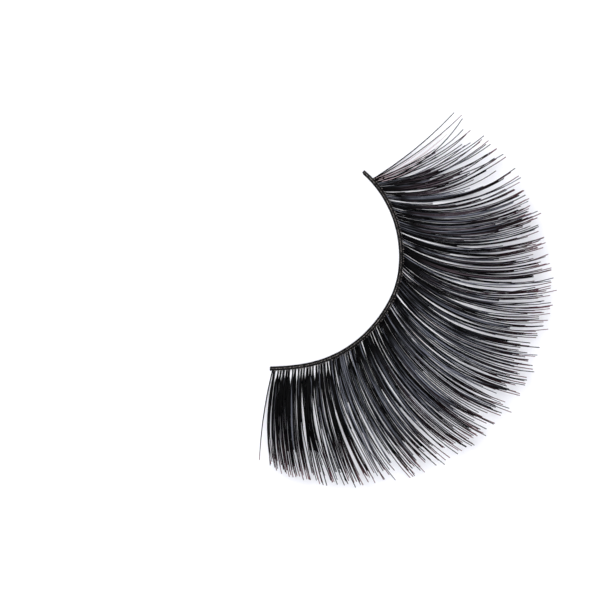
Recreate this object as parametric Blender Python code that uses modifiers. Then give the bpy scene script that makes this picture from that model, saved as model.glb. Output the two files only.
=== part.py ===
# False eyelash strip for the left eye, lying on a table with its lashes curled upwards.
# Three pieces: the flat cotton band that is glued along the eyelid, the row of knots on it
# that ties the lashes, and the fringe of lashes, fused into locks at their roots.
# Metres, +Z up. +X runs along the band's chord from the inner corner of the eye to the outer
# corner, the lashes point to -Y, the table is z = 0, and the origin is on the table below the
# middle of the strip.

import math

import bmesh
import bpy
from mathutils import Vector

MM = 0.001

# Band
BAND_LENGTH = 32.1 * MM
BAND_WIDTH = 0.46 * MM
BAND_HEIGHT = 0.30 * MM
BAND_CHAMFER = 0.06 * MM
BAND_SEGMENTS = 60

# Knots, one for each lock
KNOT_RADIUS = 0.085 * MM
THREAD_RADIUS = 0.050 * MM
KNOT_CLEARANCE = 0.05 * MM       # between the band's top and the knots
KNOT_SETBACK = 0.13 * MM         # from the band's middle towards the lashes

# Lashes
LOCK_COUNT = 60
FIRST_LASH = 0.012               # share of the band's length where the lashes begin
LAST_LASH = 0.958                # and end: the outer end of the band is bare
ROOT_CLEARANCE = 0.10 * MM       # between the band's outer face and the fringe's root edge
LOCK_ROWS = 10
FUSED_ROWS = 4                   # rows from the root in which neighbouring locks are one sheet
ROOT_THICKNESS = 0.34 * MM
TIP_THICKNESS_SHARE = 0.35
LOCK_RIDGE = 0.12 * MM           # how far a lock's middle line stands above its edges
TIP_WIDTH_SHARE = 0.10
TIP_TAPER_POWER = 1.4           # above 1 a lock stays wide and narrows near its tip
BELLY_SHARE = 0.34               # share of a lash that lies on the table before it curls up
CURL_POWER = 1.8
LENGTH_PATTERN = (1.00, 0.93, 1.04, 0.96, 1.02, 0.90, 0.99)   # ragged lengths of the locks

# One row for each eighth of the band, from the inner corner of the eye to the outer corner.
# heading: direction of the band in plan, in degrees from +X
# lean: turn of the lash roots from straight out of the band, in degrees
# sweep: turn of a lash in plan from root to tip, in degrees
# length: length of a lash in plan, in mm
# rise: height of a lash's tip above the table, in mm
STATION_COLUMNS = ("heading", "lean", "sweep", "length", "rise")
STATIONS = (
    (-64.9, -8.9, 15.8, 10.5, 3.6),
    (-54.3, -13.5, 21.5, 12.8, 4.2),
    (-36.9, -17.8, 29.4, 15.0, 4.8),
    (-19.2, -25.5, 39.6, 16.6, 5.2),
    (-3.2, -29.5, 45.7, 17.3, 5.4),
    (18.7, -36.5, 50.9, 17.2, 5.4),
    (36.8, -34.7, 45.1, 15.6, 5.2),
    (54.9, -40.1, 44.5, 14.3, 4.8),
    (73.9, -9.2, 16.3, 9.6, 4.0),
)

BAND_BLACK = (0.022, 0.020, 0.021, 1.0)
KNOT_BLACK = (0.035, 0.032, 0.034, 1.0)
HAIR_BLACK = (0.010, 0.010, 0.013, 1.0)


def clear_scene():
    for thing in list(bpy.data.objects):
        bpy.data.objects.remove(thing, do_unlink=True)


def new_collection(name):
    collection = bpy.data.collections.new(name)
    bpy.context.scene.collection.children.link(collection)
    return collection


def plain_material(name, colour, roughness):
    material = bpy.data.materials.new(name)
    material.use_nodes = True
    shader = material.node_tree.nodes["Principled BSDF"]
    shader.inputs["Base Color"].default_value = colour
    shader.inputs["Roughness"].default_value = roughness
    shader.inputs["Metallic"].default_value = 0.0
    return material


def station(column, share):
    # Smooth value of one column of the table at a share of the band's length
    index = STATION_COLUMNS.index(column)
    last = len(STATIONS) - 1
    place = min(max(share, 0.0), 1.0) * last
    row = min(int(place), last - 1)
    t = place - row
    b = STATIONS[row][index]
    c = STATIONS[row + 1][index]
    a = STATIONS[row - 1][index] if row > 0 else 2 * b - c
    d = STATIONS[row + 2][index] if row + 2 <= last else 2 * c - b
    slope = (c - a) * t
    bend = (2 * a - 5 * b + 4 * c - d) * t ** 2
    turn = (3 * b - a - 3 * c + d) * t ** 3
    return b + 0.5 * (slope + bend + turn)


def plan_direction(degrees):
    angle = math.radians(degrees)
    return Vector((math.cos(angle), math.sin(angle), 0.0))


def walk_band(steps):
    # The band's middle line on the table, from the inner end to the outer end
    points = [Vector((0.0, 0.0, 0.0))]
    for step in range(steps):
        heading = station("heading", (step + 0.5) / steps)
        points.append(points[-1] + plan_direction(heading) * BAND_LENGTH / steps)
    return points


BAND_STEPS = 480
BAND_LINE = walk_band(BAND_STEPS)


def band_point(share, outward=0.0):
    # A point of the band's middle line, moved outward towards the lashes
    place = min(max(share, 0.0), 1.0) * BAND_STEPS
    step = min(int(place), BAND_STEPS - 1)
    point = BAND_LINE[step].lerp(BAND_LINE[step + 1], place - step)
    return point + plan_direction(station("heading", share) - 90.0) * outward


def curl_height(share, along):
    # Height of a lash's underside: flat on the table first, then an even curl upwards
    free = max(along - BELLY_SHARE, 0.0) / (1.0 - BELLY_SHARE)
    return station("rise", share) * MM * free ** CURL_POWER


LASH_STEPS = 40


def lash_line(share):
    # The plan of one lash as a list of points from root to tip
    points = [band_point(share, BAND_WIDTH / 2 + ROOT_CLEARANCE)]
    root = station("heading", share) - 90.0 + station("lean", share)
    step_length = station("length", share) * MM / LASH_STEPS
    for step in range(LASH_STEPS):
        turned = root + station("sweep", share) * (step + 0.5) / LASH_STEPS
        points.append(points[-1] + plan_direction(turned) * step_length)
    return points


def lash_point(share, along):
    # A point of the fringe's underside; along may pass 1 on a longer lock
    line = lash_line(share)
    place = along * LASH_STEPS
    step = min(int(place), LASH_STEPS - 1)
    point = line[step] + (line[step + 1] - line[step]) * (place - step)
    point.z = curl_height(share, along)
    return point


def add_curve(name, collection, points, radii, material):
    # An open poly line in 3D, ready for a bevel with filled caps
    curve = bpy.data.curves.new(name, "CURVE")
    curve.dimensions = "3D"
    curve.twist_mode = "Z_UP"
    curve.use_fill_caps = True
    spline = curve.splines.new("POLY")
    spline.points.add(len(points) - 1)
    for spline_point, place, radius in zip(spline.points, points, radii):
        spline_point.co = (place.x, place.y, place.z, 1.0)
        spline_point.radius = radius
    curve.materials.append(material)
    thing = bpy.data.objects.new(name, curve)
    collection.objects.link(thing)
    return thing


def band_profile(collection):
    # Cross-section of the band: a rectangle with cut corners, as wide as the band
    curve = bpy.data.curves.new("band_profile", "CURVE")
    curve.dimensions = "2D"
    half_width = BAND_WIDTH / 2
    half_height = BAND_HEIGHT / 2
    corners = []
    for side_x, side_y in ((1, 1), (1, -1), (-1, -1), (-1, 1)):
        upright = (side_x * half_width, side_y * (half_height - BAND_CHAMFER))
        level = (side_x * (half_width - BAND_CHAMFER), side_y * half_height)
        corners += [level, upright] if side_x == side_y else [upright, level]
    spline = curve.splines.new("POLY")
    spline.points.add(len(corners) - 1)
    for spline_point, corner in zip(spline.points, corners):
        spline_point.co = (corner[0], corner[1], 0.0, 1.0)
    spline.use_cyclic_u = True
    guide = bpy.data.objects.new("band_profile", curve)
    guide.hide_render = True
    guide.display_type = "WIRE"
    collection.objects.link(guide)
    return guide


def add_band(collection, guides):
    shares = [step / BAND_SEGMENTS for step in range(BAND_SEGMENTS + 1)]
    points = [band_point(share) + Vector((0.0, 0.0, BAND_HEIGHT / 2)) for share in shares]
    material = plain_material("black_cotton_band", BAND_BLACK, 0.75)
    band = add_curve("lash_band", collection, points, [1.0] * len(points), material)
    band.data.bevel_mode = "OBJECT"
    band.data.bevel_object = band_profile(guides)
    return band


def add_knots(collection):
    # A thread along the band's top that thickens into a knot over each lock
    height = BAND_HEIGHT + KNOT_CLEARANCE + KNOT_RADIUS
    places = []
    radii = []
    for half_step in range(2 * LOCK_COUNT + 1):
        share = FIRST_LASH + (LAST_LASH - FIRST_LASH) * half_step / (2 * LOCK_COUNT)
        places.append(band_point(share, KNOT_SETBACK) + Vector((0.0, 0.0, height)))
        on_knot = half_step % 2 == 1
        radii.append(1.0 if on_knot else THREAD_RADIUS / KNOT_RADIUS)
    material = plain_material("black_tying_thread", KNOT_BLACK, 0.6)
    knots = add_curve("knot_row", collection, places, radii, material)
    knots.data.bevel_depth = KNOT_RADIUS
    knots.data.bevel_resolution = 1
    return knots


def slit_edges(mesh):
    # Edges between two locks beyond the fused rows of the flat grid
    found = []
    for edge in mesh.edges:
        low, high = sorted(vert.co.y for vert in edge.verts)
        columns = {round(vert.co.x) for vert in edge.verts}
        runs_along = len(columns) == 1
        between_locks = runs_along and min(columns) % 2 == 0
        inside = 0 < min(columns) < 2 * LOCK_COUNT
        if between_locks and inside and round(low) >= FUSED_ROWS and high > low:
            found.append(edge)
    return found


def lock_place(lock, side, row):
    # A vertex of one lock: side is -1, 0 or 1 across it, row counts from the root
    step = (LAST_LASH - FIRST_LASH) / LOCK_COUNT
    middle = FIRST_LASH + (lock + 0.5) * step
    along = row / LOCK_ROWS
    fused = FUSED_ROWS / LOCK_ROWS
    free = max(along - fused, 0.0) / (1.0 - fused)
    narrowed = 1.0 - (1.0 - TIP_WIDTH_SHARE) * free ** TIP_TAPER_POWER
    share = middle + side * 0.5 * step * narrowed
    own_length = LENGTH_PATTERN[lock % len(LENGTH_PATTERN)]
    reach = along + (own_length - 1.0) * free
    place = lash_point(share, reach)
    if side == 0:
        place.z += LOCK_RIDGE * narrowed
    return place


def add_fringe(collection):
    # An open sheet with a slit between each two locks, made solid by Solidify
    mesh = bmesh.new()
    bmesh.ops.create_grid(mesh, x_segments=2 * LOCK_COUNT, y_segments=LOCK_ROWS, size=0.5)
    for vert in mesh.verts:
        vert.co.x = round((vert.co.x + 0.5) * 2 * LOCK_COUNT)
        vert.co.y = round((vert.co.y + 0.5) * LOCK_ROWS)
    bmesh.ops.split_edges(mesh, edges=slit_edges(mesh))
    places = {}
    for vert in mesh.verts:
        centre = sum(face.calc_center_median().x for face in vert.link_faces)
        lock = min(int(centre / len(vert.link_faces) / 2), LOCK_COUNT - 1)
        side = round(vert.co.x) - (2 * lock + 1)
        places[vert] = (lock, side, round(vert.co.y))
    rows = []
    for vert, (lock, side, row) in places.items():
        vert.co = lock_place(lock, side, row)
        rows.append(row)
    # The grid's x runs along the band and its rows run to -Y, so its faces point down: turn them
    bmesh.ops.reverse_faces(mesh, faces=mesh.faces)
    data = bpy.data.meshes.new("hair_fringe")
    mesh.to_mesh(data)
    mesh.free()
    data.shade_smooth()
    data.materials.append(plain_material("black_lash_hair", HAIR_BLACK, 0.35))
    fringe = bpy.data.objects.new("hair_fringe", data)
    collection.objects.link(fringe)
    taper = fringe.vertex_groups.new(name="thickness")
    for index, row in enumerate(rows):
        taper.add([index], 1.0 - row / LOCK_ROWS, "REPLACE")
    solid = fringe.modifiers.new("thickness", "SOLIDIFY")
    solid.thickness = ROOT_THICKNESS
    solid.offset = 1.0
    solid.vertex_group = "thickness"
    solid.thickness_vertex_group = TIP_THICKNESS_SHARE
    return fringe


def centre_on_table(things):
    # Shift every piece so that the origin lies below the middle of the whole strip
    bpy.context.view_layer.update()
    graph = bpy.context.evaluated_depsgraph_get()
    corners = []
    for thing in things:
        evaluated = thing.evaluated_get(graph)
        mesh = evaluated.to_mesh()
        corners += [thing.matrix_world @ vert.co for vert in mesh.vertices]
        evaluated.to_mesh_clear()
    low_x, high_x = min(p.x for p in corners), max(p.x for p in corners)
    low_y, high_y = min(p.y for p in corners), max(p.y for p in corners)
    low_z = min(p.z for p in corners)
    shift = Vector((-(low_x + high_x) / 2, -(low_y + high_y) / 2, -low_z))
    for thing in things:
        thing.location += shift


def main():
    clear_scene()
    strip = new_collection("false_eyelash_strip")
    guides = new_collection("guides")
    pieces = [add_band(strip, guides), add_knots(strip), add_fringe(strip)]
    centre_on_table(pieces)


main()
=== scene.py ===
import math

import bmesh
import bpy
import numpy as np
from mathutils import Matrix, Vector


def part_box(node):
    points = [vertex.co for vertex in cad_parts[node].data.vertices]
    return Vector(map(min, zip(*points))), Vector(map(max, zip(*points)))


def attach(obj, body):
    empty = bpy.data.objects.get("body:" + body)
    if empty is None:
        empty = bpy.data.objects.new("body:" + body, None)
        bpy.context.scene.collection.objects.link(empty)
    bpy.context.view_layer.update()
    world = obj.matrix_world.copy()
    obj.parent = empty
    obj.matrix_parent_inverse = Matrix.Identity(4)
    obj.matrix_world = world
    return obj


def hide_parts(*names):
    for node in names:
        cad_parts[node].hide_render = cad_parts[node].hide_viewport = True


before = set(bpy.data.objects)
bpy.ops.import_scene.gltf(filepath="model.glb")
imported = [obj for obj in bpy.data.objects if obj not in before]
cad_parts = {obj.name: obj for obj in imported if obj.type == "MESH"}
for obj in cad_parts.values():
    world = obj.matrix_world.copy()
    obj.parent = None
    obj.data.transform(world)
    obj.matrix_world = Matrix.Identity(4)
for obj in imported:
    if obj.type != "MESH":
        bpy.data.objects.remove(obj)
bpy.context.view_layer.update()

mm = 0.001
rng = np.random.default_rng(19)
print("frame loaded:", ", ".join(sorted(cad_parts)))


# The strip's course on the table, the same numbers as the part's source (mm and degrees)

strip = {
    "bandLength": 32.1,
    "bandWidth": 0.46,
    "rootClearance": 0.10,
    "firstLash": 0.012,  # share of the band where the first and the last lashes are tied
    "lastLash": 0.958,
    "bellyShare": 0.34,  # this much of a lash lies low before it curls up
    "curlPower": 1.8,
    "endFanShare": 0.05,  # the first lashes have no neighbour to lean on and fan out, in degrees
    "endFanLean": 4.5,
    "endFanSweep": 8.0,
    "lengthTrim": 0.985,
    "courseSteps": 480,
}
stationColumns = ("heading", "lean", "sweep", "length", "rise")
stations = (  # one row at each eighth of the band, inner corner of the eye first
    (-64.9, -8.9, 15.8, 10.5, 3.6),
    (-54.3, -13.5, 21.5, 12.8, 4.2),
    (-36.9, -17.8, 29.4, 15.0, 4.8),
    (-19.2, -25.5, 39.6, 16.6, 5.2),
    (-3.2, -29.5, 45.7, 17.3, 5.4),
    (18.7, -36.5, 50.9, 17.2, 5.4),
    (36.8, -34.7, 45.1, 15.6, 5.2),
    (54.9, -40.1, 44.5, 14.3, 4.8),
    (73.9, -9.2, 16.3, 9.6, 4.0),
)


def station(column, share):
    # A smooth curve through the rows of one column
    values = np.array([row[stationColumns.index(column)] for row in stations])
    before = 2 * values[0] - values[1]
    after = 2 * values[-1] - values[-2]
    padded = np.concatenate(([before], values, [after]))
    place = np.clip(share, 0.0, 1.0) * (len(values) - 1)
    row = np.minimum(place.astype(int), len(values) - 2)
    t = place - row
    a, b, c, d = (padded[row + step] for step in range(4))
    slope = (c - a) * t
    bend = (2 * a - 5 * b + 4 * c - d) * t ** 2
    turn = (3 * b - a - 3 * c + d) * t ** 3
    return b + 0.5 * (slope + bend + turn)


def planDirection(degrees):
    angle = np.radians(degrees)
    return np.stack((np.cos(angle), np.sin(angle)), axis=-1)


stepShares = (np.arange(strip["courseSteps"]) + 0.5) / strip["courseSteps"]
courseSteps = planDirection(station("heading", stepShares)) * strip["bandLength"] / strip["courseSteps"]
course = np.concatenate((np.zeros((1, 2)), np.cumsum(courseSteps, axis=0)))
courseShares = np.linspace(0.0, 1.0, strip["courseSteps"] + 1)


def bandPlace(share, outward=0.0):
    # A place on the band's middle line, moved outward towards the lashes, in mm
    share = np.asarray(share, float)
    x = np.interp(share, courseShares, course[:, 0])
    y = np.interp(share, courseShares, course[:, 1])
    away = planDirection(station("heading", share) - 90.0)
    return np.stack((x, y), axis=-1) + away * np.asarray(outward, float)[..., None]


halfBand = strip["bandWidth"] / 2
edges = np.concatenate((bandPlace(courseShares, halfBand), bandPlace(courseShares, -halfBand)))
tapeCorner = np.array(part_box("lash_band")[0][:2]) / mm
courseShift = tapeCorner - edges.min(axis=0)  # puts the course where the CAD band lies


def ease(low, high, value):
    t = np.clip((value - low) / (high - low), 0.0, 1.0)
    return t * t * (3.0 - 2.0 * t)


def lashPlace(share, along):
    # Plan of the lash field: along is 0 at the band and 1 at a lash's usual tip
    share = np.asarray(share, float)
    loose = 1.0 - ease(strip["firstLash"], strip["firstLash"] + strip["endFanShare"], share)
    lean = station("lean", share) - strip["endFanLean"] * loose
    root = np.radians(station("heading", share) - 90.0 + lean)
    sweep = np.radians(station("sweep", share) + strip["endFanSweep"] * loose)
    reach = station("length", share) * strip["lengthTrim"] / sweep
    start = bandPlace(share, halfBand + strip["rootClearance"])
    turned = root + sweep * along
    x = start[..., 0] + reach * (np.sin(turned) - np.sin(root))
    y = start[..., 1] + reach * (np.cos(root) - np.cos(turned))
    return np.stack((x, y), axis=-1)


def curlHeight(share, along):
    free = np.clip((along - strip["bellyShare"]) / (1.0 - strip["bellyShare"]), 0.0, None)
    return station("rise", share) * free ** strip["curlPower"]


# Tubes: one short template from bmesh operators, bent along many paths at once

tubeMap = {  # how a tube lies on its strip of the map
    "capInset": 0.02,
    "capSize": (0.01, 0.3),
    "stripEdge": 0.1,  # left free on each side of a strip
}


def tubeTemplate(sides, rings):
    # A closed tube round Z, one unit long, with its map: along it, and round it from 0 to 1
    mesh = bmesh.new()
    bmesh.ops.create_circle(mesh, segments=sides, radius=1.0)
    firstRing = list(mesh.verts) + list(mesh.edges)
    bmesh.ops.spin(mesh, geom=firstRing, cent=(0, 0, 0), axis=(0, 0, 1),
                   dvec=(0, 0, 1.0 / rings), angle=0.0, steps=rings, use_duplicate=False)
    openEdges = [edge for edge in mesh.edges if edge.is_boundary]
    bmesh.ops.holes_fill(mesh, edges=openEdges, sides=sides)
    bmesh.ops.recalc_face_normals(mesh, faces=mesh.faces)
    mesh.verts.index_update()
    points = np.array([vert.co for vert in mesh.verts])
    faces = []
    maps = []
    inset = tubeMap["capInset"]
    capAlong, capAcross = tubeMap["capSize"]
    for face in mesh.faces:
        faces.append([vert.index for vert in face.verts])
        middle = face.calc_center_median()
        isCap = abs(face.normal.z) > 0.5
        middleTurn = math.atan2(middle.y, middle.x)
        for vert in face.verts:
            if isCap:
                capPlace = inset + (1.0 - 2 * inset) * vert.co.z + capAlong * vert.co.y
                maps.append((capPlace, 0.5 + capAcross * vert.co.x))
                continue
            turn = math.atan2(vert.co.y, vert.co.x) - middleTurn
            turn = (turn + math.pi) % (2 * math.pi) - math.pi
            side = (middleTurn % (2 * math.pi) + turn) / (2 * math.pi)
            maps.append((vert.co.z, side))
    mesh.free()
    return {"points": points, "faces": faces, "maps": np.array(maps), "rings": rings}


def bendTubes(name, template, paths, halfWidths, halfHeights, strips, stripCount, material, reach=1.0):
    # Every path gets one tube. Paths are in mm, [tube, ring, xyz]. Its faces lie on one strip of the
    # map, over the share of the map's length that reach gives
    points = template["points"]
    ring = np.rint(points[:, 2] * template["rings"]).astype(int)
    tangent = np.gradient(paths, axis=1)
    tangent /= np.linalg.norm(tangent, axis=2, keepdims=True)
    sideways = np.cross((0.0, 0.0, 1.0), tangent)
    sideways /= np.linalg.norm(sideways, axis=2, keepdims=True)
    lift = np.cross(tangent, sideways)
    across = sideways[:, ring] * (points[:, 0] * halfWidths[:, ring])[..., None]
    upward = lift[:, ring] * (points[:, 1] * halfHeights[:, ring])[..., None]
    places = (paths[:, ring] + across + upward).reshape(-1, 3) * mm
    offsets = np.arange(len(paths)) * len(points)
    faces = []
    for offset in offsets.tolist():
        faces.extend([corner + offset for corner in face] for face in template["faces"])
    data = bpy.data.meshes.new(name)
    data.from_pydata(places.tolist(), [], faces)
    uvLayer = data.uv_layers.new(name="OFBake")
    maps = np.tile(template["maps"], (len(paths), 1))
    ownStrip = np.repeat(strips, len(template["maps"]))
    maps[:, 0] *= np.repeat(np.broadcast_to(reach, len(paths)), len(template["maps"]))
    edge = tubeMap["stripEdge"]
    maps[:, 1] = (ownStrip + edge + (1.0 - 2 * edge) * np.clip(maps[:, 1], 0.0, 1.0)) / stripCount
    uvLayer.data.foreach_set("uv", maps.ravel())
    data.shade_smooth()
    data.materials.append(material)
    piece = bpy.data.objects.new(name, data)
    bpy.context.scene.collection.objects.link(piece)
    return piece


def withHeight(plan, height):
    # Plan places become places in space, moved to where the CAD lies
    height = np.broadcast_to(height, plan.shape[:-1])
    return np.concatenate((plan + courseShift, height[..., None]), axis=-1)


# Materials

def toLinear(hexCode):
    # sRGB hex to the linear colour that a shader takes
    parts = [int(hexCode[start:start + 2], 16) / 255 for start in (1, 3, 5)]
    linear = [part / 12.92 if part <= 0.04045 else ((part + 0.055) / 1.055) ** 2.4 for part in parts]
    return (*linear, 1.0)


def addNode(tree, kind, settings=None, values=None, links=None):
    # One node with its settings, its sockets' values and what feeds them
    node = tree.nodes.new(kind)
    for name, value in (settings or {}).items():
        if name == "stops":
            ramp = node.color_ramp
            while len(ramp.elements) < len(value):
                ramp.elements.new(0.5)
            for element, (place, colour) in zip(ramp.elements, value):
                element.position = place
                element.color = colour
        else:
            setattr(node, name, value)
    for name, value in (values or {}).items():
        node.inputs[name].default_value = value
    for name, source in (links or {}).items():
        tree.links.new(source, node.inputs[name])
    return node


def placeInMm(tree):
    # The place on a piece, in millimetres
    place = addNode(tree, "ShaderNodeTexCoord")
    scaled = addNode(tree, "ShaderNodeMapping", values={"Scale": (1.0 / mm, 1.0 / mm, 1.0 / mm)},
                     links={"Vector": place.outputs["Object"]})
    return scaled.outputs["Vector"]


def unevenRoughness(tree, finish, noise):
    # A roughness that a noise moves about its usual value
    smoother, rougher = finish["roughSpread"]
    rough = addNode(tree, "ShaderNodeMapRange",
                    values={"To Min": finish["roughness"] - smoother,
                            "To Max": finish["roughness"] + rougher},
                    links={"Value": noise})
    return rough.outputs["Result"]


def newMaterial(name):
    material = bpy.data.materials.new(name)
    material.use_nodes = True
    material.node_tree.nodes.clear()
    return material, material.node_tree


variantCount = 48  # strips of the map: each lash takes one, and so its own tint
paintedWarmSheenVariants = (8, 18)  # the strips before these are plain black, and these have a warm sheen painted into their colour
paintedCoolSheenVariants = (18, 28)  # these have a cool sheen painted into their colour
paintedGleamVariants = (28, 36)  # these have grey glints painted into their colour as well
redVariants = (36, 47)  # these turn red brown at the tip
mauveVariant = 47  # and this one is thinned along its whole length

# PBT fibre, drawn thin, dyed black in the mass and tapered in lye: a near-black thread with a painted
# sheen along most shafts and painted grey glints in long streaks along some fibres, and whose dissolved
# thin end lets light through, red brown
lashFinish = {
    "dark": "#020203",
    "paintedCoolSheen": "#777a86",  # a sheen painted into the colour of shafts between root and tip
    "paintedWarmSheen": "#5a4e55",  # and the painted sheen that more of them have towards the outer end
    # painted glints: a grey highlight painted into the colour in streaks
    "paintedGleam": "#9da1ae",
    "thin": "#2a1d20",
    "tip": "#704e54",
    "paintedSheenShare": 0.70,  # share of the lashes that have the painted sheen, past the fringe's inner end
    "paintedGleamShare": 0.19,  # share of the lashes with painted grey glints
    "mauve": "#c6b2b6",
    "paintedGleamLength": 3.5,  # mm
    "paintedGleamsAcross": 3.0,  # rows of streaks round one lash
    "paintedGleamEdge": (0.42, 0.60),
    "redShare": 0.60,  # share of the long single lashes whose tips show the red brown
    "redLength": 0.8,  # how long they are at least, as a share of the usual length
    "paintedSheenSpan": (0.12, 0.38, 0.62, 0.80),  # shares of a fibre between which the painted sheen comes and goes
    "paintedSheenFrom": (0.10, 0.42),  # shares of the band between which the painted sheen becomes common
    "warmShare": (0.10, 0.75),  # share that is warm at the inner end, and how much the outer end adds
    "warmFrom": (0.60, 0.82),
    "thinning": (0.60, 0.86),  # shares of a fibre at which it begins to thin and is thin
    "roughness": 0.34,
    "roughSpread": (0.08, 0.10),
    "specular": 0.04,  # low, so that the fringe stays black under soft boxes
    "usualLength": 16.0,  # mm, one turn of the map along a fibre
}


def makeLashMaterial():
    material, tree = newMaterial("taperedPbtFibre")
    place = addNode(tree, "ShaderNodeUVMap", {"uv_map": "OFBake"})
    parts = addNode(tree, "ShaderNodeSeparateXYZ", links={"Vector": place.outputs["UV"]})
    along = parts.outputs["X"]
    strips = addNode(tree, "ShaderNodeMath", {"operation": "MULTIPLY"}, {1: variantCount},
                     {0: parts.outputs["Y"]})
    whole = addNode(tree, "ShaderNodeMath", {"operation": "FLOOR"}, links={0: strips.outputs[0]})
    own = whole.outputs[0]
    chance = addNode(tree, "ShaderNodeTexWhiteNoise", {"noise_dimensions": "1D"}, links={"W": own})
    firstOf = {
        "withPaintedSheen": paintedWarmSheenVariants[0],
        "cool": paintedCoolSheenVariants[0],
        "withPaintedGleam": paintedGleamVariants[0],
        "red": redVariants[0],
        "mauve": mauveVariant,
    }
    isPast = {}  # 1 on the strips from that one on
    for kind, first in firstOf.items():
        past = addNode(tree, "ShaderNodeMath", {"operation": "GREATER_THAN"},
                       {1: first - 0.5}, {0: own})
        isPast[kind] = past.outputs[0]
    # Painted glints: grey highlight streaks painted into the base colour of some fibres
    paintedGleamOdds = addNode(tree, "ShaderNodeMath", {"operation": "MULTIPLY"},
                     links={0: isPast["withPaintedGleam"], 1: chance.outputs["Value"]})
    turns = lashFinish["usualLength"] / lashFinish["paintedGleamLength"]
    paintedGleamRows = variantCount * lashFinish["paintedGleamsAcross"]
    stretched = addNode(tree, "ShaderNodeMapping", values={"Scale": (turns, paintedGleamRows, 1.0)},
                        links={"Vector": place.outputs["UV"]})
    streaks = addNode(tree, "ShaderNodeTexNoise", values={"Scale": 1.0, "Detail": 2.0},
                      links={"Vector": stretched.outputs["Vector"]})
    streakLow, streakHigh = lashFinish["paintedGleamEdge"]
    inStreak = addNode(tree, "ShaderNodeMapRange",
                       values={"From Min": streakLow, "From Max": streakHigh},
                       links={"Value": streaks.outputs["Fac"]})
    paintedGleam = addNode(tree, "ShaderNodeMath", {"operation": "MULTIPLY"},
                    links={0: paintedGleamOdds.outputs[0], 1: inStreak.outputs["Result"]})
    black = (0, 0, 0, 1)
    white = (1, 1, 1, 1)
    # Painted sheen: a highlight painted into the base colour along the middle of the shaft, warm or
    # cool by strip
    rising, full, fading, gone = lashFinish["paintedSheenSpan"]
    onShaft = addNode(tree, "ShaderNodeValToRGB",
                      {"stops": ((rising, black), (full, white), (fading, white), (gone, black))},
                      links={"Fac": along})
    wrapped = addNode(tree, "ShaderNodeMath", {"operation": "WRAP"},
                      {1: paintedCoolSheenVariants[1], 2: paintedCoolSheenVariants[0]}, {0: own})
    paintedSheenShare = addNode(tree, "ShaderNodeMapRange",
                          values={"From Min": paintedCoolSheenVariants[0], "From Max": paintedCoolSheenVariants[1]},
                          links={"Value": wrapped.outputs[0]})
    paintedSheen = addNode(tree, "ShaderNodeMath", {"operation": "MULTIPLY"},
                     links={0: onShaft.outputs["Color"], 1: paintedSheenShare.outputs["Result"]})
    paintedSheenTone = addNode(tree, "ShaderNodeMix", {"data_type": "RGBA"},
                         {6: toLinear(lashFinish["paintedWarmSheen"]), 7: toLinear(lashFinish["paintedCoolSheen"])},
                         {0: isPast["cool"]})
    ownShare = addNode(tree, "ShaderNodeMath", {"operation": "MULTIPLY"},
                       links={0: paintedSheen.outputs[0], 1: isPast["withPaintedSheen"]})
    ownPaintedSheen = addNode(tree, "ShaderNodeMix", {"data_type": "RGBA"}, {6: toLinear(lashFinish["dark"])},
                        {0: ownShare.outputs[0], 7: paintedSheenTone.outputs[2]})
    shaft = addNode(tree, "ShaderNodeMix", {"data_type": "RGBA"}, {7: toLinear(lashFinish["paintedGleam"])},
                    {0: paintedGleam.outputs[0], 6: ownPaintedSheen.outputs[2]})
    thinFrom, thinAt = lashFinish["thinning"]
    dark = toLinear(lashFinish["dark"])
    thinning = addNode(tree, "ShaderNodeValToRGB",
                       {"stops": ((0.0, dark), (thinFrom, dark), (thinAt, toLinear(lashFinish["thin"])),
                                  (1.0, toLinear(lashFinish["tip"])))},
                       links={"Fac": along})
    tinted = addNode(tree, "ShaderNodeMix", {"data_type": "RGBA"},
                     links={0: isPast["red"], 6: shaft.outputs[2], 7: thinning.outputs["Color"]})
    colour = addNode(tree, "ShaderNodeMix", {"data_type": "RGBA"}, {7: toLinear(lashFinish["mauve"])},
                     {0: isPast["mauve"], 6: tinted.outputs[2]})
    rough = unevenRoughness(tree, lashFinish, streaks.outputs["Fac"])
    shader = addNode(tree, "ShaderNodeBsdfPrincipled",
                     values={"IOR": 1.52, "Specular IOR Level": lashFinish["specular"]},
                     links={"Base Color": colour.outputs[2], "Roughness": rough})
    addNode(tree, "ShaderNodeOutputMaterial", links={"Surface": shader.outputs["BSDF"]})
    return material


# Cotton tape, woven narrow and dipped in lash glue: dull brown black with pale fibre specks
tapeFinish = {
    "cotton": "#0b0a0a",
    "glued": "#040304",
    "speck": "#4c4846",
    "weftSpacing": 0.16,  # mm between weft threads
    "weftHeight": 0.02,  # mm
    "weftStrength": 0.5,
    "speckSize": 0.11,  # mm
    "speckEdge": (0.30, 0.12),
    "speckShare": 0.55,
    "filmsPerMm": 1.1,  # patches of glue
    "roughness": 0.7,
    "roughSpread": (0.25, 0.15),
    "specular": 0.12,
}


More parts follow.
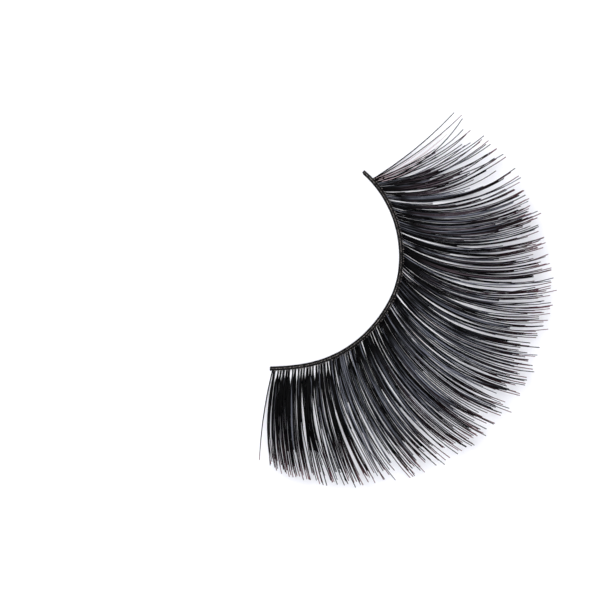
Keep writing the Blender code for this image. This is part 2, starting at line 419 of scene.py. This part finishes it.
def makeTapeMaterial():
    material, tree = newMaterial("gluedCottonTape")
    mmPlace = placeInMm(tree)
    film = addNode(tree, "ShaderNodeTexNoise",
                   values={"Scale": tapeFinish["filmsPerMm"], "Detail": 3.0},
                   links={"Vector": mmPlace})
    specks = addNode(tree, "ShaderNodeTexVoronoi", values={"Scale": 0.5 / tapeFinish["speckSize"]},
                     links={"Vector": mmPlace})
    speckEdge, speckHeart = tapeFinish["speckEdge"]
    speckShare = addNode(tree, "ShaderNodeMapRange",
                         values={"From Min": speckEdge, "From Max": speckHeart, "To Min": 0.0,
                                 "To Max": tapeFinish["speckShare"]},
                         links={"Value": specks.outputs["Distance"]})
    ground = addNode(tree, "ShaderNodeMix", {"data_type": "RGBA"},
                     {6: toLinear(tapeFinish["glued"]), 7: toLinear(tapeFinish["cotton"])},
                     {0: film.outputs["Fac"]})
    filmShare = addNode(tree, "ShaderNodeMath", {"operation": "MULTIPLY"},
                        links={0: speckShare.outputs["Result"], 1: film.outputs["Fac"]})
    colour = addNode(tree, "ShaderNodeMix", {"data_type": "RGBA"}, {7: toLinear(tapeFinish["speck"])},
                     {0: filmShare.outputs[0], 6: ground.outputs[2]})
    rough = unevenRoughness(tree, tapeFinish, film.outputs["Fac"])
    weft = addNode(tree, "ShaderNodeTexNoise",
                   values={"Scale": 1.0 / tapeFinish["weftSpacing"], "Detail": 2.0},
                   links={"Vector": mmPlace})
    bump = addNode(tree, "ShaderNodeBump",
                   values={"Strength": tapeFinish["weftStrength"],
                           "Distance": tapeFinish["weftHeight"] * mm},
                   links={"Height": weft.outputs["Fac"]})
    shader = addNode(tree, "ShaderNodeBsdfPrincipled",
                     values={"IOR": 1.47, "Specular IOR Level": tapeFinish["specular"]},
                     links={"Base Color": colour.outputs[2], "Roughness": rough,
                            "Normal": bump.outputs["Normal"]})
    addNode(tree, "ShaderNodeOutputMaterial", links={"Surface": shader.outputs["BSDF"]})
    return material


# Two-ply polyester thread, twisted hard and dyed black: a faint sheen that breaks up ply by ply, and
# grey glints painted into its colour along the plies
threadFinish = {
    "dark": "#060506",
    # painted glints: grey highlights painted into the thread's colour
    "paintedGlint": "#86807c",
    "plyLength": 0.16,  # mm
    "plyHeight": 0.01,  # mm
    "plyStrength": 0.4,
    "fewGlintsFrom": 0.66,  # noise level from which the black thread shows painted grey glints
    "manyGlintsFrom": 0.42,  # and the thread that has many painted glints
    "glintOver": 0.2,
    "roughness": 0.45,
    "roughSpread": (0.1, 0.2),
    "specular": 0.12,
}


def makeThreadMaterial(name, glintFrom):
    material, tree = newMaterial(name)
    fibres = addNode(tree, "ShaderNodeTexNoise",
                     values={"Scale": 1.0 / threadFinish["plyLength"], "Detail": 3.0},
                     links={"Vector": placeInMm(tree)})
    # Painted glints: grey painted into the colour where the ply noise is high
    glintFull = glintFrom + threadFinish["glintOver"]
    colour = addNode(tree, "ShaderNodeValToRGB",
                     {"stops": ((glintFrom, toLinear(threadFinish["dark"])),
                                (glintFull, toLinear(threadFinish["paintedGlint"])))},
                     links={"Fac": fibres.outputs["Fac"]})
    rough = unevenRoughness(tree, threadFinish, fibres.outputs["Fac"])
    bump = addNode(tree, "ShaderNodeBump",
                   values={"Strength": threadFinish["plyStrength"],
                           "Distance": threadFinish["plyHeight"] * mm},
                   links={"Height": fibres.outputs["Fac"]})
    shader = addNode(tree, "ShaderNodeBsdfPrincipled",
                     values={"IOR": 1.5, "Specular IOR Level": threadFinish["specular"]},
                     links={"Base Color": colour.outputs["Color"], "Roughness": rough,
                            "Normal": bump.outputs["Normal"]})
    addNode(tree, "ShaderNodeOutputMaterial", links={"Surface": shader.outputs["BSDF"]})
    return material


lashMaterial = makeLashMaterial()
tapeMaterial = makeTapeMaterial()
blackThread = makeThreadMaterial("blackPolyesterThread", threadFinish["fewGlintsFrom"])
glintLitThread = makeThreadMaterial("glintLitPolyesterThread", threadFinish["manyGlintsFrom"])
print("materials made")


# The band: a cotton tape with cords woven in, slimmer at its bare outer end

tape = {
    "rings": 420,
    "sides": 16,
    "halfWidth": 0.215,  # mm
    "halfHeight": 0.145,
    "ripple": 0.012,  # mm, weft threads that swell its edges
    "ripplePitch": 0.30,
    "rippleUp": 0.3,  # share of the ripple that shows in its height
    "slimFrom": 0.942,  # share of the band from which its outer end slims
    "bareWidth": 0.86,  # share of the width left at the very end
    "squareness": 0.6,  # 1 is a round section, and less is nearer a tape's
}


def makeTape():
    template = tubeTemplate(tape["sides"], tape["rings"])
    share = np.linspace(0.0, 1.0, tape["rings"] + 1)
    swell = tape["ripple"] * np.sin(share * strip["bandLength"] / tape["ripplePitch"] * 2 * math.pi)
    slim = 1.0 - (1.0 - tape["bareWidth"]) * ease(tape["slimFrom"], 1.0, share)
    width = (tape["halfWidth"] + swell) * slim
    height = (tape["halfHeight"] + tape["rippleUp"] * swell) * (0.5 + 0.5 * slim)
    path = withHeight(bandPlace(share, 0.0), height)
    squared = template["points"].copy()
    flat = squared[:, :2]
    squared[:, :2] = np.sign(flat) * np.abs(flat) ** tape["squareness"]
    template["points"] = squared
    onlyStrip = np.zeros(1, int)
    return bendTubes("cottonTape", template, path[None], width[None], height[None], onlyStrip, 1,
                     tapeMaterial)


cottonTape = makeTape()
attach(cottonTape, "root")
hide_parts("lash_band")

cords = {
    "rings": 420,
    "sides": 6,
    "plyRadius": 0.036,  # mm
    "twistRadius": 0.026,
    "twistPitch": 0.36,
    "edgeSetIn": 0.205,  # from the band's middle line to the hollow side
    "edgeHeight": 0.20,
    "tyingSetIn": 0.010,
    "tyingHeight": 0.27,
    "from": 0.002,  # shares of the band at which the cords begin and end
    "to": 0.996,
}


def makeCord(name, setIn, height, material):
    # Two plies twisted round each other along the band
    template = tubeTemplate(cords["sides"], cords["rings"])
    share = np.linspace(cords["from"], cords["to"], cords["rings"] + 1)
    turn = share * strip["bandLength"] / cords["twistPitch"] * 2 * math.pi
    paths = []
    for phase in (0.0, math.pi):
        outward = -setIn + cords["twistRadius"] * np.cos(turn + phase)
        rise = height + cords["twistRadius"] * np.sin(turn + phase)
        paths.append(withHeight(bandPlace(share, outward), rise))
    radius = np.full((2, cords["rings"] + 1), cords["plyRadius"])
    cord = bendTubes(name, template, np.array(paths), radius, radius, np.arange(2), 2, material)
    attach(cord, "root")
    return cord


makeCord("edgeCord", cords["edgeSetIn"], cords["edgeHeight"], blackThread)
makeCord("tyingCord", cords["tyingSetIn"], cords["tyingHeight"], glintLitThread)
print("band made")


# Knots: a stitch over the tape and a hitch round each bundle of roots

knots = {
    "count": 94,
    "unevenness": 0.10,  # pitches by which a knot stands off its place
    "stitchRings": 7,
    "stitchRadius": 0.030,  # mm
    "stitchSlant": 0.10,
    "stitchFrom": 195,  # degrees round the band
    "stitchTo": -15,
    "stitchReach": 0.250,  # mm across the band, to each side of its middle line
    "stitchLow": 0.15,
    "stitchRise": 0.19,
    "hitchRings": 10,
    "hitchRadius": 0.038,
    "hitchAround": 0.060,
    "hitchSpread": (0.85, 1.15),
    "hitchOutward": 0.250,  # from the band's middle line towards the lashes
    "hitchLead": (-0.04, 0.05),
    "hitchHeight": 0.31,
    "hitchFlatness": 0.85,
    "hitchTurns": 1.2,
    "mapStrips": 8,
}
lashSpan = strip["lastLash"] - strip["firstLash"]
knotPitch = lashSpan / knots["count"]
knotShares = strip["firstLash"] + (np.arange(knots["count"]) + 0.5) * knotPitch
knotShares = knotShares + rng.normal(0.0, knots["unevenness"] * knotPitch, knots["count"])


def makeStitches():
    rings = knots["stitchRings"] + 1
    template = tubeTemplate(4, knots["stitchRings"])
    over = np.linspace(math.radians(knots["stitchFrom"]), math.radians(knots["stitchTo"]), rings)[None]
    slant = np.linspace(-0.5, 0.5, rings)[None] * knots["stitchSlant"]
    share = knotShares[:, None] + slant / strip["bandLength"]
    outward = knots["stitchReach"] * np.cos(over) + np.zeros_like(share)
    height = knots["stitchLow"] + knots["stitchRise"] * np.sin(over)
    paths = withHeight(bandPlace(share, outward), height)
    slim = np.minimum(np.linspace(0.3, 3.0, rings), np.linspace(3.0, 0.3, rings))  # thin at both ends
    radius = np.full(share.shape, knots["stitchRadius"]) * np.clip(slim, 0.0, 1.0)[None]
    strips = np.arange(knots["count"]) % knots["mapStrips"]
    return bendTubes("tyingStitches", template, paths, radius, radius, strips, knots["mapStrips"],
                     blackThread)


def makeHitches():
    rings = knots["hitchRings"] + 1
    template = tubeTemplate(4, knots["hitchRings"])
    share = knotShares[:, None]
    wind = np.linspace(0.0, knots["hitchTurns"] * 2 * math.pi, rings)[None]
    wind = wind + rng.uniform(0.0, 2 * math.pi, (knots["count"], 1))
    lead = np.linspace(*knots["hitchLead"], rings)[None]
    around = knots["hitchAround"] * rng.uniform(*knots["hitchSpread"], (knots["count"], 1))
    sideways = around * np.cos(wind)
    height = knots["hitchHeight"] + knots["hitchFlatness"] * around * np.sin(wind)
    outward = knots["hitchOutward"] + lead + np.zeros_like(wind)
    paths = withHeight(bandPlace(share + sideways / strip["bandLength"], outward), height)
    radius = np.full(wind.shape, knots["hitchRadius"])
    strips = np.arange(knots["count"]) % knots["mapStrips"]
    return bendTubes("tyingHitches", template, paths, radius, radius, strips, knots["mapStrips"],
                     glintLitThread)


for knotPiece in (makeStitches(), makeHitches()):
    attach(knotPiece, "root")
    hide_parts("knot_row")
print("knots made")


# The lashes: one strand at each knot, which spreads into single hairs

lashes = {
    "perKnot": 8,
    "rings": 14,
    "sides": 4,
    "diameter": 0.108,  # mm
    "fineDiameter": 0.095,
    "bluntTip": 1.0,  # share of the diameter left at the tip of a clump's lash
    "fineTip": 0.96,
    "rootJitter": 0.45,  # how far a lash stands off its place in the row, in places
    "shortOdds": 0.26,  # short lashes, which fill the fringe near the band
    "shortLengths": (0.18, 0.50),  # shares of the usual length, here and below
    "middleOdds": 0.06,
    "middleLengths": (0.50, 0.86),
    "longLengths": (0.87, 1.03),
    "longest": 1.045,
    "clumpOdds": 0.11,  # lashes stuck side by side to a blunt stroke
    "clumpSizes": (2, 4),
    "clumpLengths": (0.62, 0.96),
    "clumpUneven": 0.022,
    "clumpGap": 0.074,  # mm from lash to lash in a clump
    "gapWaver": 0.012,
    "clumpRise": 0.06,  # layers from lash to lash
    "runnerOdds": 0.20,  # lashes that run on past their clump's end
    "runnerLengths": (1.05, 1.18),  # shares of their clump's length
    "rootWidth": (0.22, 0.48),  # share of a knot's pitch that its roots fill near the inner end
    "closedWidth": (0.45, 1.05),  # the same where no white shows between the roots
    "openUntil": (0.12, 0.27),  # shares of the band between which the white gaps become rare
    "strandWidth": (0.65, 1.15),  # share of the pitch that a strand fills beyond its root
    "openWider": 0.22,  # pitches by which a strand fills more where its root stands open
    "tipSpread": 0.30,  # pitches by which a strand widens towards its tip
    "strandLean": 0.09,  # pitches by which whole strands stray
    "meetOdds": 0.05,  # odds that a strand leans on its neighbour, which leaves a gap behind it
    "meetLean": 0.16,
    "sway": 0.09,
    "drift": 0.05,
    "wander": 0.26,  # pitches by which a lash has left its strand at the tip
    "strayOdds": 0.15,  # and by which the strays have
    "strayWander": 1.3,
    "layers": 0.50,  # mm, height of the lie of lashes over each other
    "layerEdges": (0.33, 0.66),  # where the middle and the upper piece begin
    "curlVariation": 0.12,
    "wisps": (0.926, 0.948),  # shares between which the lashes thin out into single wisps
    "shorter": (0.80, 0.90),  # shares between which shorter lashes come in, and how many and how short
    "endOdds": 0.50,
    "endLength": (0.55, 0.85),
    "thinned": 0.84,  # share of the lashes that is missing beyond
}


def strandLeans():
    # How far each whole strand stands off its own knot, in pitches
    leans = rng.normal(0.0, lashes["strandLean"], knots["count"])
    for index in range(knots["count"] - 1):
        if rng.uniform() < lashes["meetOdds"]:
            leans[index] += lashes["meetLean"]
            leans[index + 1] -= lashes["meetLean"]
    return leans


lashColumns = ("knot", "rootAt", "rootWidth", "width", "lean", "sway", "phase", "wander",
               "length", "layer", "curl", "beside", "fine", "drift", "chance", "rootHeight")


def lashLength(kind):
    if kind < lashes["clumpOdds"]:
        return rng.uniform(*lashes["clumpLengths"])
    ofLength = rng.uniform()
    if ofLength < lashes["shortOdds"]:
        return rng.uniform(*lashes["shortLengths"])
    if ofLength < lashes["shortOdds"] + lashes["middleOdds"]:
        return rng.uniform(*lashes["middleLengths"])
    return rng.uniform(*lashes["longLengths"])


def plantLashes():
    # One row of numbers for each lash: where it is tied, where it wanders, how long and how high
    rows = []
    for knotShare, lean in zip(knotShares, strandLeans()):
        thin = float(ease(*lashes["wisps"], np.array(knotShare)))
        places = int(round(lashes["perKnot"] * (1.0 - lashes["thinned"] * thin)))
        isOpen = rng.uniform() > float(ease(*lashes["openUntil"], np.array(knotShare)))
        rootWidth = rng.uniform(*lashes["rootWidth" if isOpen else "closedWidth"])
        width = rng.uniform(*lashes["strandWidth"]) + lashes["openWider"] * isOpen
        sway = rng.normal(0.0, lashes["sway"])
        phase = rng.uniform(0.0, 2 * math.pi)
        for place in range(places):
            rootAt = (place + 0.5 + rng.normal(0.0, lashes["rootJitter"])) / places - 0.5
            isStray = rng.uniform() < lashes["strayOdds"]
            wander = rng.normal(0.0, lashes["strayWander" if isStray else "wander"])
            kind = rng.uniform()
            clump = kind < lashes["clumpOdds"] * (1.0 - thin)
            size = int(rng.integers(*lashes["clumpSizes"])) if clump else 1
            length = lashLength(kind)
            if rng.uniform() < lashes["endOdds"] * ease(*lashes["shorter"], np.array(knotShare)):
                length = length * rng.uniform(*lashes["endLength"])
            layer = rng.uniform()
            curl = 1.0 - abs(rng.normal(0.0, lashes["curlVariation"]))
            drift = rng.normal(0.0, lashes["drift"])
            for member in range(size):
                own = length * (1.0 + rng.normal(0.0, lashes["clumpUneven"] if clump else 0.0))
                runner = clump and rng.uniform() < lashes["runnerOdds"]
                if runner:
                    own = own * rng.uniform(*lashes["runnerLengths"])
                beside = (member - (size - 1) / 2) * lashes["clumpGap"]
                beside = beside + rng.normal(0.0, lashes["gapWaver"])
                own = min(own, lashes["longest"])
                ownLayer = layer + lashes["clumpRise"] * member
                fine = float(runner or not clump)
                rows.append((knotShare, rootAt, rootWidth, width, lean, sway, phase, wander, own,
                             ownLayer, curl, beside, fine, drift, rng.uniform(), rng.uniform()))
    return {name: np.array(rows)[:, index, None] for index, name in enumerate(lashColumns)}


lie = {  # how a lash runs, over shares of its usual length
    "rootInset": 0.24,  # mm that it starts behind its knot
    "opens": (0.04, 0.14),
    "spreads": (0.45, 1.0),
    "leans": (0.02, 0.5),
    "swayTurns": 7.0,  # radians over a lash
    "driftTurns": 9.0,
    "driftPhase": 6.3,
    "wanderPower": 1.15,
    "bundled": 0.15,  # share of its clump's width left at the root
    "loosens": (0.03, 0.22),
    "rootHeight": (0.09, 0.16),  # mm, the lowest root, and how much higher the highest is
    "layered": (0.02, 0.45),
    "thickness": (0.88, 0.24),  # the thinnest, as a share of the diameter, and how much chance adds
    "tapers": (0.55, 1.05),
}


def lashPaths(rows):
    steps = np.linspace(0.0, 1.0, lashes["rings"] + 1)[None]
    start = -lie["rootInset"] / station("length", rows["knot"])
    along = start + (rows["length"] - start) * steps
    width = rows["rootWidth"] + (rows["width"] - rows["rootWidth"]) * ease(*lie["opens"], along)
    width = width + lashes["tipSpread"] * ease(*lie["spreads"], along)
    aside = rows["rootAt"] * width + rows["lean"] * ease(*lie["leans"], along)
    swaying = np.sin(along * lie["swayTurns"] + rows["phase"]) - np.sin(rows["phase"])
    aside = aside + rows["sway"] * swaying
    driftPhase = lie["driftPhase"] * rows["chance"]
    drifting = np.sin(along * lie["driftTurns"] + driftPhase) - np.sin(driftPhase)
    aside = aside + rows["drift"] * drifting
    aside = aside + rows["wander"] * np.clip(along, 0.0, None) ** lie["wanderPower"]
    share = rows["knot"] + aside * knotPitch
    plan = lashPlace(share, along)
    forward = np.gradient(plan, axis=1)
    forward /= np.linalg.norm(forward, axis=2, keepdims=True)
    leftward = np.stack((-forward[..., 1], forward[..., 0]), axis=-1)
    loosen = lie["bundled"] + (1.0 - lie["bundled"]) * ease(*lie["loosens"], along)
    plan = plan + leftward * (rows["beside"] * loosen)[..., None]
    lowest, spread = lie["rootHeight"]
    height = lowest + spread * rows["rootHeight"] + curlHeight(share, along) * rows["curl"]
    height = height + lashes["layers"] * rows["layer"] * ease(*lie["layered"], along)
    return withHeight(plan, height)


def lashRadii(rows):
    fine = rows["fine"] > 0
    thinnest, added = lie["thickness"]
    diameter = np.where(fine, lashes["fineDiameter"], lashes["diameter"])
    diameter = diameter * (thinnest + added * rows["chance"])
    tip = np.where(fine, lashes["fineTip"], lashes["bluntTip"])
    steps = np.linspace(0.0, 1.0, lashes["rings"] + 1)[None]
    return diameter / 2 * (1.0 - (1.0 - tip) * ease(*lie["tapers"], steps))


def lashVariants(rows):
    # The strip of the map that each lash takes, and with it black, a painted sheen, painted grey glints
    # or a red tip
    count = len(rows["knot"])
    place = rows["knot"][:, 0]
    isLong = (rows["fine"][:, 0] > 0) & (rows["length"][:, 0] > lashFinish["redLength"])
    reddish = isLong & (rng.uniform(size=count) < lashFinish["redShare"])
    # Which lashes get painted grey glints and which a painted sheen
    withPaintedGleam = rng.uniform(size=count) < lashFinish["paintedGleamShare"]
    paintedSheenShare = lashFinish["paintedSheenShare"] * ease(*lashFinish["paintedSheenFrom"], place)
    withPaintedSheen = rng.uniform(size=count) < paintedSheenShare
    variant = rng.integers(0, paintedWarmSheenVariants[0], count)
    warmInner, warmAdded = lashFinish["warmShare"]
    isWarm = rng.uniform(size=count) < warmInner + warmAdded * ease(*lashFinish["warmFrom"], place)
    tone = np.where(isWarm, rng.integers(*paintedWarmSheenVariants, count), rng.integers(*paintedCoolSheenVariants, count))
    variant = np.where(withPaintedSheen, tone, variant)
    variant = np.where(withPaintedGleam, rng.integers(*paintedGleamVariants, count), variant)
    return np.where(reddish, rng.integers(*redVariants, count), variant)


def makeLashes():
    rows = plantLashes()
    paths = lashPaths(rows)
    radii = lashRadii(rows)
    variant = lashVariants(rows)
    reach = np.minimum(rows["length"][:, 0], 1.0)
    template = tubeTemplate(lashes["sides"], lashes["rings"])
    third = np.digitize(rows["layer"][:, 0], lashes["layerEdges"])
    made = []
    for index, name in enumerate(("lowerLashes", "middleLashes", "upperLashes")):
        mine = third == index
        made.append(bendTubes(name, template, paths[mine], radii[mine], radii[mine], variant[mine],
                              variantCount, lashMaterial, reach[mine]))
    print("lashes:", len(paths))
    return made


# Single lashes that part from the fringe at its two ends: share of the band, degrees off their
# neighbours at the root, degrees that they turn, length in mm, diameter in mm and tint
loners = (
    (0.010, -6, 12, 10.0, 0.13, "red"),
    (0.014, -1, 14, 10.5, 0.13, "black"),
    (0.958, 10, 15, 11.5, 0.13, "black"),
    (0.957, 6, 17, 12.0, 0.11, "red"),
    (0.940, 2, 42, 12.0, 0.13, "black"),
    (0.956, -2, 14, 7.5, 0.11, "black"),
    (0.954, -7, 28, 12.0, 0.12, "red"),
    (0.952, -12, 30, 10.5, 0.13, "black"),
    (0.948, -15, 36, 12.5, 0.12, "red"),
    (0.945, -17, 38, 13.5, 0.13, "black"),
    (0.942, -18, 38, 14.0, 0.12, "red"),
    (0.938, -19, 38, 14.5, 0.13, "black"),
    (0.956, 3, 19, 9.0, 0.06, "mauve"),
    (0.953, 1, 21, 8.5, 0.06, "mauve"),
    (0.949, 3, 24, 9.5, 0.06, "mauve"),
    (0.946, 0, 26, 8.0, 0.06, "mauve"),
    (0.942, -5, 22, 5.0, 0.06, "mauve"),
)


lonerLie = {
    "rootOutward": 0.12,  # mm from the band's middle line
    "rootHeight": 0.12,
    "lift": 0.4,
    "liftOver": 0.4,  # share of its length
    "curl": 2.8,  # mm
    "curlFrom": 0.35,
    "curlPower": 1.7,
    "tipTaper": 0.30,
}


def makeLoners():
    steps = np.linspace(0.0, 1.0, lashes["rings"] + 1)
    paths = []
    radii = []
    curled = np.clip((steps - lonerLie["curlFrom"]) / (1.0 - lonerLie["curlFrom"]), 0.0, None)
    height = lonerLie["rootHeight"] + lonerLie["lift"] * ease(0.0, lonerLie["liftOver"], steps)
    height = height + lonerLie["curl"] * curled ** lonerLie["curlPower"]
    for share, off, turn, length, diameter, _ in loners:
        root = station("heading", np.array(share)) - 90.0 + station("lean", np.array(share)) + off
        heading = root + turn * (steps - 0.5 / lashes["rings"])
        moves = planDirection(heading) * length / lashes["rings"]
        plan = np.concatenate((np.zeros((1, 2)), np.cumsum(moves[1:], axis=0)))
        paths.append(withHeight(plan + bandPlace(share, lonerLie["rootOutward"]), height))
        radii.append(diameter / 2 * (1.0 - lonerLie["tipTaper"] * steps ** 2))
    template = tubeTemplate(lashes["sides"], lashes["rings"])
    tints = {"black": 0, "red": redVariants[0], "mauve": mauveVariant}
    variants = np.array([tints[loner[5]] for loner in loners])
    return bendTubes("endLashes", template, np.array(paths), np.array(radii), np.array(radii), variants,
                     variantCount, lashMaterial)


for lashPiece in (*makeLashes(), makeLoners()):
    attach(lashPiece, "root")
    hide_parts("hair_fringe")
print("lashes made")


# Floor, light and camera

studio = {
    "floorRadius": 0.30,  # m, as far as the key light keeps it white
    "floor": "#f3f3f6",
    "floorRoughness": 0.9,
    "floorSpecular": 0.2,
    "sky": "#eff1ff",
    "skyStrength": 0.36,
    "wall": "#f1f1f4",  # the pale wall that shows beyond the floor from low down
    "softBoxes": (  # place in metres, side in metres, watts
        ("key", (0.06, 0.17, 0.62), 0.34, 3.7),
        ("fill", (-0.52, -0.10, 0.42), 0.36, 1.4),
        ("rim", (0.40, -0.42, 0.40), 0.30, 0.9),
    ),
}


def makeStudio():
    mesh = bmesh.new()
    bmesh.ops.create_circle(mesh, cap_ends=True, segments=96, radius=studio["floorRadius"])
    data = bpy.data.meshes.new("paleFloor")
    mesh.to_mesh(data)
    mesh.free()
    floor = bpy.data.objects.new("paleFloor", data)
    bpy.context.scene.collection.objects.link(floor)
    # Board with a matte white coat: it scatters the light evenly and shows soft shadows only
    material, tree = newMaterial("matteWhiteBoard")
    shader = addNode(tree, "ShaderNodeBsdfPrincipled",
                     values={"Base Color": toLinear(studio["floor"]),
                             "Roughness": studio["floorRoughness"],
                             "Specular IOR Level": studio["floorSpecular"]})
    addNode(tree, "ShaderNodeOutputMaterial", links={"Surface": shader.outputs["BSDF"]})
    data.materials.append(material)

    world = bpy.data.worlds.new("softWhiteRoom")
    world.use_nodes = True
    world.node_tree.nodes.clear()
    sky = addNode(world.node_tree, "ShaderNodeBackground",
                  values={"Color": toLinear(studio["sky"]), "Strength": studio["skyStrength"]})
    wall = addNode(world.node_tree, "ShaderNodeBackground", values={"Color": toLinear(studio["wall"])})
    ray = addNode(world.node_tree, "ShaderNodeLightPath")
    room = addNode(world.node_tree, "ShaderNodeMixShader",
                   links={0: ray.outputs["Is Camera Ray"], 1: sky.outputs["Background"],
                          2: wall.outputs["Background"]})
    addNode(world.node_tree, "ShaderNodeOutputWorld", links={"Surface": room.outputs["Shader"]})
    bpy.context.scene.world = world

    for name, place, side, watts in studio["softBoxes"]:
        lamp = bpy.data.lights.new(name + "SoftBox", "AREA")
        lamp.shape = "SQUARE"
        lamp.size = side
        lamp.energy = watts
        softBox = bpy.data.objects.new(name + "SoftBox", lamp)
        softBox.location = place
        softBox.rotation_euler = (-Vector(place)).to_track_quat("-Z", "Y").to_euler()
        softBox.visible_camera = False
        bpy.context.scene.collection.objects.link(softBox)


photoView = {
    "pixels": 600,  # side of the photograph
    "pixelsPerMm": 9.0,
    "bandStart": (269.9, 368.6),  # pixel of the band's inner end
    "turn": 65.0,  # degrees from +X to the photograph's right, clockwise
    "lens": 200.0,  # mm, a long lens straight from above
    "sensor": 36.0,
    "clipStart": 0.01,  # m
    "clipEnd": 20.0,
}


def makeCamera():
    turn = math.radians(photoView["turn"])
    right = np.array((math.cos(turn), -math.sin(turn)))
    upward = np.array((math.sin(turn), math.cos(turn)))
    startX, startY = photoView["bandStart"]
    toMiddle = np.array((photoView["pixels"] / 2 - startX, startY - photoView["pixels"] / 2))
    toMiddle = toMiddle / photoView["pixelsPerMm"]
    middle = bandPlace(0.0) + courseShift + right * toMiddle[0] + upward * toMiddle[1]
    frameWidth = photoView["pixels"] / photoView["pixelsPerMm"]
    distance = frameWidth * photoView["lens"] / photoView["sensor"]
    data = bpy.data.cameras.new("fromAbove")
    data.lens = photoView["lens"]
    data.sensor_width = photoView["sensor"]
    data.clip_start = photoView["clipStart"]
    data.clip_end = photoView["clipEnd"]
    camera = bpy.data.objects.new("fromAbove", data)
    camera.location = (middle[0] * mm, middle[1] * mm, distance * mm)
    camera.rotation_euler = (0.0, 0.0, -turn)
    bpy.context.scene.collection.objects.link(camera)
    bpy.context.scene.camera = camera


makeStudio()
makeCamera()
bpy.context.scene.view_settings.view_transform = "Standard"  # plain whites and true blacks
print("floor, light and camera made")
